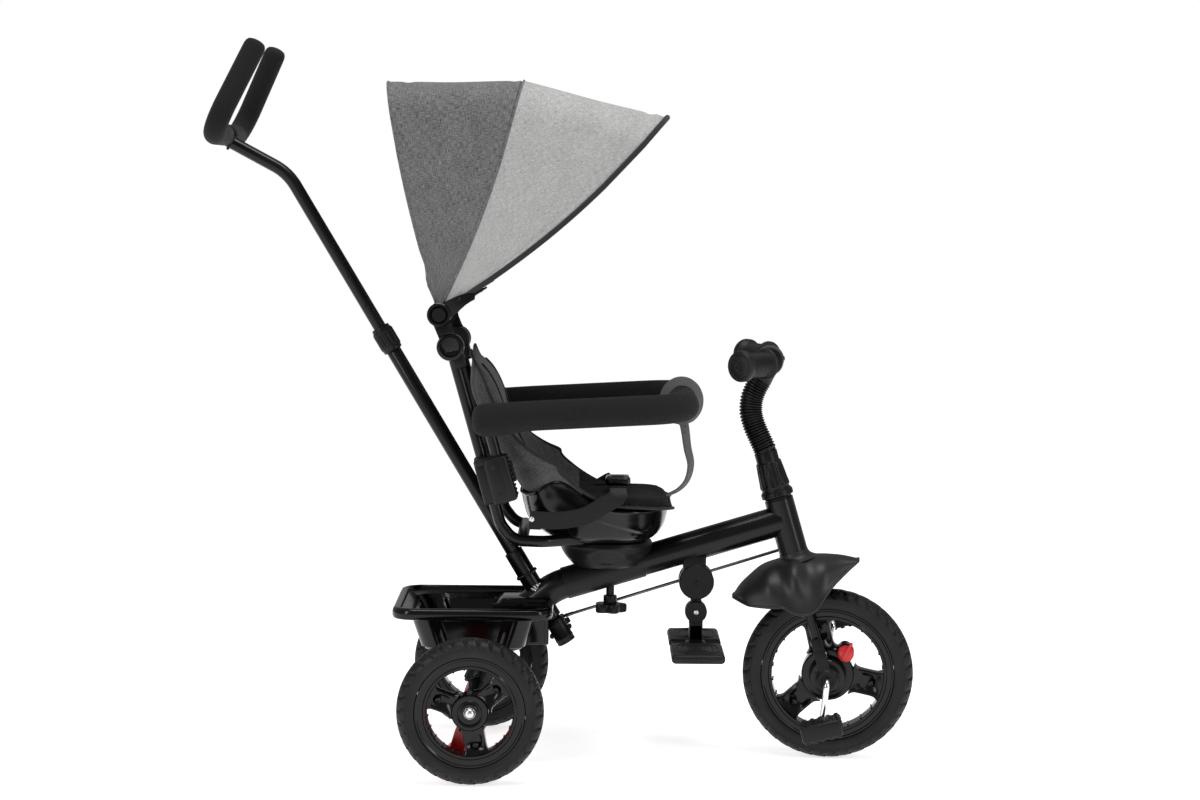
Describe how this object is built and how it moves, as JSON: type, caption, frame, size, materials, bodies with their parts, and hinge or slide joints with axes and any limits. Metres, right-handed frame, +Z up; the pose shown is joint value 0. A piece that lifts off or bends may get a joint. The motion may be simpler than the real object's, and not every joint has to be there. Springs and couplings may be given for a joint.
{
  "type": "children's tricycle",
  "caption": "Child's tricycle with a parent push handle linked to the front fork, swivel bucket seat with safety bar, folding canopy, rear basket and fold-back footrest.",
  "frame": {"origin": "on the ground below the middle of the tricycle's overall box", "axes": "+X forward, +Y to the rider's left, +Z up"},
  "size_m": [1.0335, 0.4716, 1.058],
  "materials": {
    "black_paint": "gloss black powder coat",
    "black_plastic": "satin black moulding",
    "gloss_plastic": "gloss black moulding",
    "tyre_foam": "black foamed tyre",
    "grip_rubber": "soft black rubber",
    "handle_foam": "black foam with a woven-look skin",
    "black_fabric": "black woven webbing",
    "dark_melange": "dark grey melange weave",
    "light_melange": "light grey melange weave",
    "grey_webbing": "grey webbing",
    "red_plastic": "bright red moulding",
    "chrome": "bright chrome",
    "zinc": "zinc-plated steel"
  },
  "bodies": {
    "frame": {"frame": "black_paint", "upper_head_bush": "black_plastic", "lower_head_bush": "black_plastic", "rear_axle": "zinc", "axle_cap_left": "zinc", "axle_cap_right": "zinc", "basket": "gloss_plastic", "footrest_bracket": "black_plastic", "seat_pedestal": "black_plastic"},
    "steering": {"fork": "black_paint", "fork_sleeve_left": "black_plastic", "fork_sleeve_right": "black_plastic", "fender": "grip_rubber", "steering_cover": "black_plastic", "gooseneck": "black_plastic", "handlebar": "black_paint", "grip_left": "grip_rubber", "grip_right": "grip_rubber"},
    "front_wheel": {"front_rim": "gloss_plastic", "front_tyre": "tyre_foam"},
    "clutch": {"clutch_knob": "red_plastic"},
    "cranks": {"crank": "chrome"},
    "pedal_right": {"pedal_right": "black_plastic"},
    "pedal_left": {"pedal_left": "black_plastic"},
    "push_base": {"push_tube_lower": "black_paint", "push_crank": "black_plastic"},
    "push_lock": {"push_collar": "black_plastic"},
    "push_top": {"push_tube_upper": "black_paint", "handle_foam_left": "handle_foam", "handle_foam_right": "handle_foam"},
    "steering_link": {"link_rod": "zinc"},
    "rear_wheel_right": {"rear_rim_right": "gloss_plastic", "rear_tyre_right": "tyre_foam"},
    "rear_wheel_left": {"rear_rim_left": "gloss_plastic", "rear_tyre_left": "tyre_foam"},
    "brake_right": {"brake_pedal_right": "red_plastic"},
    "brake_left": {"brake_pedal_left": "red_plastic"},
    "seat": {"seat_shell": "black_plastic", "seat_cover": "dark_melange", "seat_frame": "black_paint", "latch_block_left": "black_plastic", "latch_block_right": "black_plastic", "lap_belt": "black_fabric", "buckle": "black_plastic"},
    "release_right": {"release_button_right": "black_plastic"},
    "release_left": {"release_button_left": "black_plastic"},
    "safety_bar": {"bumper_tube": "black_paint", "bumper_foam": "handle_foam", "crotch_strap": "grey_webbing"},
    "canopy_base": {"canopy_arm_left": "black_plastic", "canopy_arm_right": "black_plastic", "rear_hoop": "zinc", "canopy_rear_panel": "dark_melange"},
    "canopy_mid": {"mid_hoop": "zinc", "canopy_front_panel": "light_melange"},
    "canopy_front": {"front_hoop": "zinc"},
    "footrest": {"footrest_post": "black_plastic", "footplate_left": "grip_rubber", "footplate_right": "grip_rubber"},
    "seat_lock": {"seat_lock_knob": "black_plastic"}
  },
  "joints": [
    {"name": "steering_turn", "type": "hinge", "parent": "frame", "child": "steering", "pos_m": [0.3895, 0, 0.127], "axis": [-0.2823, 0, 0.9593], "range_deg": [-24, 35]},
    {"name": "front_wheel_spin", "type": "hinge", "parent": "steering", "child": "front_wheel", "pos_m": [0.3895, 0, 0.127], "axis": [0.0919, 0.9954, 0.0271], "continuous": true},
    {"name": "clutch_turn", "type": "hinge", "parent": "front_wheel", "child": "clutch", "pos_m": [0.41582, -0.00339, 0.16209], "axis": [0.0919, 0.9954, 0.0271], "range_deg": [0, 80]},
    {"name": "crank_spin", "type": "hinge", "parent": "steering", "child": "cranks", "pos_m": [0.3895, 0, 0.127], "axis": [0.0919, 0.9954, 0.0271], "continuous": true},
    {"name": "pedal_right_spin", "type": "hinge", "parent": "cranks", "child": "pedal_right", "pos_m": [0.38283, 0.00229, 0.0654], "axis": [0.0919, 0.9954, 0.0271], "continuous": true},
    {"name": "pedal_left_spin", "type": "hinge", "parent": "cranks", "child": "pedal_left", "pos_m": [0.39617, -0.00229, 0.1886], "axis": [0.0919, 0.9954, 0.0271], "continuous": true},
    {"name": "push_turn", "type": "hinge", "parent": "frame", "child": "push_base", "pos_m": [-0.0121, 0, 0.19], "axis": [-0.5145, 0, 0.8575], "range_deg": [-24, 35]},
    {"name": "push_lock_turn", "type": "hinge", "parent": "push_base", "child": "push_lock", "pos_m": [-0.2713, 0, 0.622], "axis": [-0.5145, 0, 0.8575], "range_deg": [0, 90]},
    {"name": "push_height", "type": "slide", "parent": "push_base", "child": "push_top", "axis": [-0.5145, 0, 0.8575], "range_m": [-0.05, 0.1]},
    {"name": "link_swing", "type": "hinge", "parent": "push_base", "child": "steering_link", "pos_m": [-0.00816, 0.034, 0.20286], "axis": [-0.5145, 0, 0.8575], "range_deg": [-35, 24]},
    {"name": "rear_wheel_right_spin", "type": "hinge", "parent": "frame", "child": "rear_wheel_right", "pos_m": [-0.1355, -0.21, 0.105], "axis": [0, 1, 0], "continuous": true},
    {"name": "rear_wheel_left_spin", "type": "hinge", "parent": "frame", "child": "rear_wheel_left", "pos_m": [-0.1355, 0.21, 0.105], "axis": [0, 1, 0], "continuous": true},
    {"name": "brake_right_press", "type": "hinge", "parent": "frame", "child": "brake_right", "pos_m": [-0.1355, -0.173, 0.105], "axis": [0, 1, 0], "range_deg": [-15, 10]},
    {"name": "brake_left_press", "type": "hinge", "parent": "frame", "child": "brake_left", "pos_m": [-0.1355, 0.173, 0.105], "axis": [0, 1, 0], "range_deg": [-15, 10]},
    {"name": "seat_swivel", "type": "hinge", "parent": "frame", "child": "seat", "pos_m": [0.0575, 0, 0.326], "axis": [0, 0, 1], "range_deg": [-15, 15]},
    {"name": "release_right_press", "type": "slide", "parent": "seat", "child": "release_right", "axis": [-0.9622, 0, -0.2723], "range_m": [0, 0.004], "stiffness_N_per_m": 300},
    {"name": "release_left_press", "type": "slide", "parent": "seat", "child": "release_left", "axis": [-0.9622, 0, -0.2723], "range_m": [0, 0.004], "stiffness_N_per_m": 300},
    {"name": "safety_bar_lift", "type": "slide", "parent": "seat", "child": "safety_bar", "axis": [-0.2732, 0, 0.9619], "range_m": [0, 0.04]},
    {"name": "canopy_tilt", "type": "hinge", "parent": "seat", "child": "canopy_base", "pos_m": [-0.1705, 0, 0.616], "axis": [0, 1, 0], "range_deg": [-8, 15]},
    {"name": "canopy_mid_fold", "type": "hinge", "parent": "canopy_base", "child": "canopy_mid", "pos_m": [-0.1855, 0, 0.664], "axis": [0, 1, 0], "range_deg": [-31, 0], "deforming": ["canopy_rear_panel"]},
    {"name": "canopy_front_fold", "type": "hinge", "parent": "canopy_mid", "child": "canopy_front", "pos_m": [-0.1855, 0, 0.664], "axis": [0, 1, 0], "range_deg": [-27, 0], "deforming": ["canopy_front_panel"]},
    {"name": "footrest_fold", "type": "hinge", "parent": "frame", "child": "footrest", "pos_m": [0.1915, 0, 0.218], "axis": [0, 1, 0], "range_deg": [0, 50]},
    {"name": "seat_lock_turn", "type": "hinge", "parent": "frame", "child": "seat_lock", "pos_m": [0.0635, 0, 0.24], "axis": [0, 0, 1], "range_deg": [-60, 60]}
  ],
  "couplings": [
    {"joint": "push_turn", "follows": "steering_turn", "ratio": 1},
    {"joint": "link_swing", "follows": "steering_turn", "ratio": -1},
    {"joint": "canopy_front_fold", "follows": "canopy_mid_fold", "ratio": 0.87097}
  ]
}
